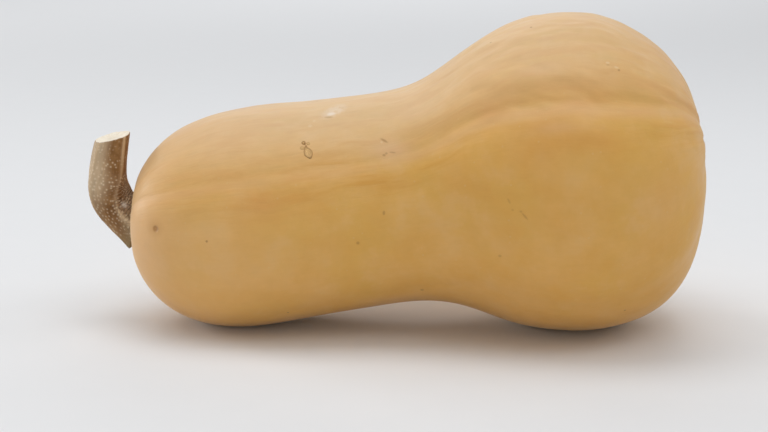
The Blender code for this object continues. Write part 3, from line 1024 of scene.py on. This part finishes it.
def make_stem(finish, shift):
    """The stem: rings of five rounded ridges carried along its bent line, then in over the cut.

    The radius is r(s) (1 + h cos 5a + strands + wrinkles + specks - cracks), with s along the line
    and a turning by the ridges' twist.
    """
    share = np.linspace(0, 1, STALK_ROWS)[:, None]
    share, angle = np.broadcast_arrays(share, round_about(STEM_COLUMNS))
    turns = angle / (2 * np.pi)
    turned = ANGLE_START + ANGLE_TURN * eased((TURN_FROM - share) / (TURN_FROM - TURN_TO))
    ridges = angle - CROWDING * np.sin(angle - CROWDED_SIDE) - turned
    foot = mound(share, (1, FOOT_LOBE_REACH), 2)
    lobe = np.cos(STEM_ANGLES * ridges)
    crest = np.exp((lobe - 1) / 0.1)
    near_cut = eased((share - CUT_FROM) / (1 - CUT_FROM))
    height = STEM_ANGLE_HEIGHT * (1 - 0.45 * near_cut) + (FOOT_LOBE_HEIGHT - STEM_ANGLE_HEIGHT) * foot
    radius = spline(STEM_RADII[:, 0], STEM_RADII[:, 1], share.ravel()).reshape(share.shape)

    twisted = (ridges / (2 * np.pi)) % 1
    bent = twisted + 0.006 * lattice(share, twisted, 6, 10, 71)
    strands = 0.5 * lattice(share, bent, 5, 60, 72) + 0.35 * lattice(share, bent, 12, 130, 73)
    inner = bell(apart(angle, INNER_SIDE[0]), INNER_SIDE[1])
    wrinkles = np.sin(2 * np.pi * (share * 30 + 1.3 * lattice(share, turns, 8, 14, 74)))
    wrinkles = wrinkles * inner * eased((0.75 - share) / 0.3) * eased(share / 0.05)

    near, _ = nearest(share, turns, *SPECK_CELLS, 75)
    draw = lattice(share, turns, 12, 11, 76)
    speck = bell(near, 0.00029 + 0.00008 * draw) * eased(0.8 + 0.7 * draw)
    near, next_near = nearest(share, turns + 0.01 * strands, *CRACKLE_CELLS, 77)
    crackle = 1 - eased((next_near - near) / 0.0004)
    crack = crackle * inner * eased((0.44 - share) / 0.14) * eased((share + 0.02) / 0.05)

    relief = CREST_RISE * crest * (1 - foot) * (1 - 0.7 * near_cut)
    relief = relief + STRAND_RISE * strands + WRINKLE_RISE * wrinkles
    relief = relief + SPECK_RISE * speck - CRACKLE_DEPTH * crack
    out = radius * (1 + height * lobe + relief + BARK_RISE * np.sin(np.pi * share) ** 0.5)
    slant = cut_plane(out, angle) * np.clip((share - CUT_FROM) / (1 - CUT_FROM), 0, 1)
    rings = round_stem(share[:, 0], out, angle, slant)

    # The cut face: a rounded rim, then rings to the middle of the dished pith
    inward = np.concatenate([np.linspace(0, 1, RIM_ROWS + 1)[1:] * 0.06,
                             np.linspace(0.06, 1, CUT_ROWS + 1)[1:-1]])[:, None]
    edge = out[-1][None, :] * (1 - inward)
    lift = 0.00035 * np.sin(np.clip(inward / 0.06, 0, 1) * np.pi / 2) - CUT_DISH * eased(inward * 1.1)
    texture = 0.00007 * lattice(inward + 0 * angle[:1], turns[:1] + 0 * inward, 14, 90, 79) * (1 - inward)
    cut_slant = cut_plane(edge, angle[:1]) + lift + texture
    cut_rings = round_stem(np.ones(1), edge, angle[:1], cut_slant)
    foot_rings = rings[:1] * np.array([0.3, 0.6, 0.9])[:, None, None] + FOOT_SINK
    seat = rind_points(np.array([[1e-4]]), np.array([[0.0]]))[0, 0]
    seat = np.array([seat[0] - GAP, 0.0, STEM_END_HEIGHT]) + shift
    everything = np.concatenate([foot_rings, rings, cut_rings]) + seat
    first, last = seat + FOOT_SINK, cut_rings[-1].mean(axis=0) + seat

    def whole(stalk, foot_value=0.0, cut_value=0.0):
        """What the material reads on the stalk, with other values under the foot and on the cut."""
        below = np.broadcast_to(foot_value, (FOOT_ROWS, STEM_COLUMNS))
        return np.concatenate([below, stalk, np.broadcast_to(cut_value, (len(inward), STEM_COLUMNS))])

    # Greyer, paler bark on the stem's -X side: partly its weathered bark, partly painted light from the
    # lamps on the left
    weathered_and_lit_side = eased(0.5 + 0.9 * np.cos(angle))
    grey = 0.8 * weathered_and_lit_side * (0.1 + 0.9 * eased((share - 0.22) / 0.34))
    grey = np.clip(grey + 0.22 * lattice(share, twisted, 5, 9, 81), 0, 0.9)
    red = inner * eased((0.78 - share) / 0.45) * (0.75 + 0.25 * lattice(share, turns, 7, 8, 82))
    red = np.clip(red, 0, 0.85)
    green = np.clip(0.9 - share / 0.2 + 0.18 * lattice(share, turns, 8, 12, 83), 0, 0.9)
    crest_tone = np.clip(crest * (0.55 + 0.3 * lattice(share, twisted, 10, 15, 84)), 0, 0.8)
    at, turn, length, width, strength = WHITE_MARK
    white = bell((share - at) * STEM_LENGTH, length) * bell((turns - turn) * STEM_GIRTH, width) * strength
    pale = np.clip(speck + 0.5 * np.clip(wrinkles, 0, 1) ** 4, 0, 1)
    pale = pale * (0.5 + 0.3 * eased((share - 0.2) / 0.3))
    on_rim = eased(inward / 0.05)
    ring_pith = bell(inward - 1, 0.28) + 0.35 * bell(inward - 0.12, 0.04)
    zero = np.zeros_like(share)
    rim_arc = STEM_LENGTH + inward * 0.0064 + 0 * angle[:1]
    fibres = whole(ridges, ridges[:1], ridges[-1:])
    round_x, round_y = np.cos(fibres), np.sin(fibres)
    arc = whole(share * STEM_LENGTH, 0.0, rim_arc)
    features = {
        "fibre": stack(FIBRE_RADIUS * round_x, FIBRE_RADIUS * round_y, arc),
        "relief": stack(whole(pale), whole(crack * 0.9), whole(crest_tone)),
        "tones": stack(whole(grey), whole(red), whole(green, 0.9)),
        "cut": stack(whole(zero, 0, on_rim), whole(zero, 0, np.clip(ring_pith, 0, 0.8)), whole(white)),
        "rays": stack(round_x, round_y, whole(zero, 0, inward * 4)),
    }
    return closed_surface("stem_wood", everything, first, last, finish, features)


# ------ the studio

FLOOR_RADIUS = 4.0
FLOOR_RINGS = 24
FLOOR_COLUMNS = 96


def make_floor():
    """A flat round floor: rings of growing radius, r = R t^2."""
    reach = (FLOOR_RADIUS * np.linspace(0, 1, FLOOR_RINGS + 1)[1:] ** 2)[:, None]
    phi = round_about(FLOOR_COLUMNS)
    rings = stack(reach * np.cos(phi), reach * np.sin(phi), 0 * reach * phi)
    points = np.concatenate([rings.reshape(-1, 3), [(0, 0, 0)]])
    mesh = bpy.data.meshes.new("paper_floor")
    mesh.from_pydata(points.tolist(), [], net(FLOOR_RINGS, FLOOR_COLUMNS))
    mesh.materials.append(paper_finish())
    placed("paper_floor", mesh)


def aim(thing, place, target):
    """Puts a light or camera at a place, its -Z towards the target and its X level."""
    back = (Vector(place) - Vector(target)).normalized()
    right = Vector((0, 0, 1)).cross(back)
    right = right.normalized() if right.length > 1e-6 else Vector((1, 0, 0))
    up = back.cross(right)
    turned = Matrix((right, up, back)).transposed().to_4x4()
    thing.matrix_world = Matrix.Translation(place) @ turned


def direction(elevation, bearing):
    """Unit vector at an elevation and a bearing from -Y towards +X, both in degrees."""
    up, turn = math.radians(elevation), math.radians(bearing)
    return Vector((math.cos(up) * math.sin(turn), -math.cos(up) * math.cos(turn), math.sin(up)))


def soft_light(name, place, target, size, power):
    """An oblong light of this size in metres and power in watts."""
    light = bpy.data.lights.new(name, "AREA")
    light.shape = "RECTANGLE"
    light.size, light.size_y = size
    light.energy = power
    light.color = LIGHT_COLOUR
    aim(placed(name, light), place, target)


# Soft lights round the squash: elevation and bearing from -Y towards +X in degrees, distance, watts
LIGHTS = (
    ("rear_left_light", 13, 242, 2.4, 18.0), ("high_left_light", 60, 270, 1.5, 3.45),
    ("right_light", 35, 90, 1.5, 2.6), ("rear_right_light", 10, 120, 1.5, 2.05),
    ("low_left_light", 10, 330, 1.5, 2.6), ("low_right_light", 10, 30, 1.5, 0.9),
    ("front_light", 55, 0, 1.5, 1.2), ("high_right_light", 60, 45, 1.5, 3.1),
)
LIGHT_COLOUR = (0.973, 0.988, 1.0)
LIGHT_SIZE = (0.8, 0.8)
LIGHTS_CENTRE = Vector((0, 0, 0.05))
LIT_PLACE = (0, 0, 0.04)
# One light overhead and one over the far floor: place, target, size, watts
UPPER_LIGHTS = (
    ("overhead_light", (0.0, 0.05, 1.2), LIT_PLACE, (0.8, 0.6), 4.1),
    ("far_light", (0.0, 2.2, 1.4), (0, 2.2, 0), (2.0, 1.0), 16.3),
)
SURROUNDINGS = 0.27

# The camera fitted to the photograph's outline: lens and sensor in millimetres, where it looks,
# distance in metres, elevation and bearing in degrees
CAMERA_LENS, CAMERA_SENSOR = 71.32, 36
CAMERA_TARGET = Vector((-0.00355, 0, 0.0443))
CAMERA_AWAY, CAMERA_ELEVATION, CAMERA_BEARING = 0.62, 12, 2


def make_studio():
    """Floor, dim pale surroundings, the ring of soft lights and the upper ones."""
    make_floor()
    world = bpy.data.worlds.new("studio")
    bpy.context.scene.world = world
    world.use_nodes = True
    background = world.node_tree.nodes["Background"]
    background.inputs["Color"].default_value = (*LIGHT_COLOUR, 1)
    background.inputs["Strength"].default_value = SURROUNDINGS
    for name, elevation, bearing, away, power in LIGHTS:
        place = LIGHTS_CENTRE + away * direction(elevation, bearing)
        soft_light(name, place, LIT_PLACE, LIGHT_SIZE, power)
    for light in UPPER_LIGHTS:
        soft_light(*light)
    bpy.context.scene.view_settings.view_transform = "Standard"


def make_camera():
    """The photograph's view."""
    data = bpy.data.cameras.new("camera")
    data.lens = CAMERA_LENS
    data.sensor_width = CAMERA_SENSOR
    camera = placed("camera", data)
    place = CAMERA_TARGET + CAMERA_AWAY * direction(CAMERA_ELEVATION, CAMERA_BEARING)
    aim(camera, place, CAMERA_TARGET)
    bpy.context.scene.camera = camera


# ------ putting it together

rind, shift = make_rind(rind_finish())
stem = make_stem(bark_finish(), shift)
loop_cork = cork_finish("cork_loop", *LOOP_CORK)
disc_cork = cork_finish("cork_disc", *DISC_CORK)
neck_scar = make_neck_scar(loop_cork, shift)
blossom_scar = make_blossom_scar(disc_cork, shift)
for piece, slot in ((rind, "rind"), (stem, "woody_stem"), (neck_scar, "rind"), (blossom_scar, "rind")):
    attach(piece, "root")
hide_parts("fruit")
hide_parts("stem")
make_studio()
make_camera()
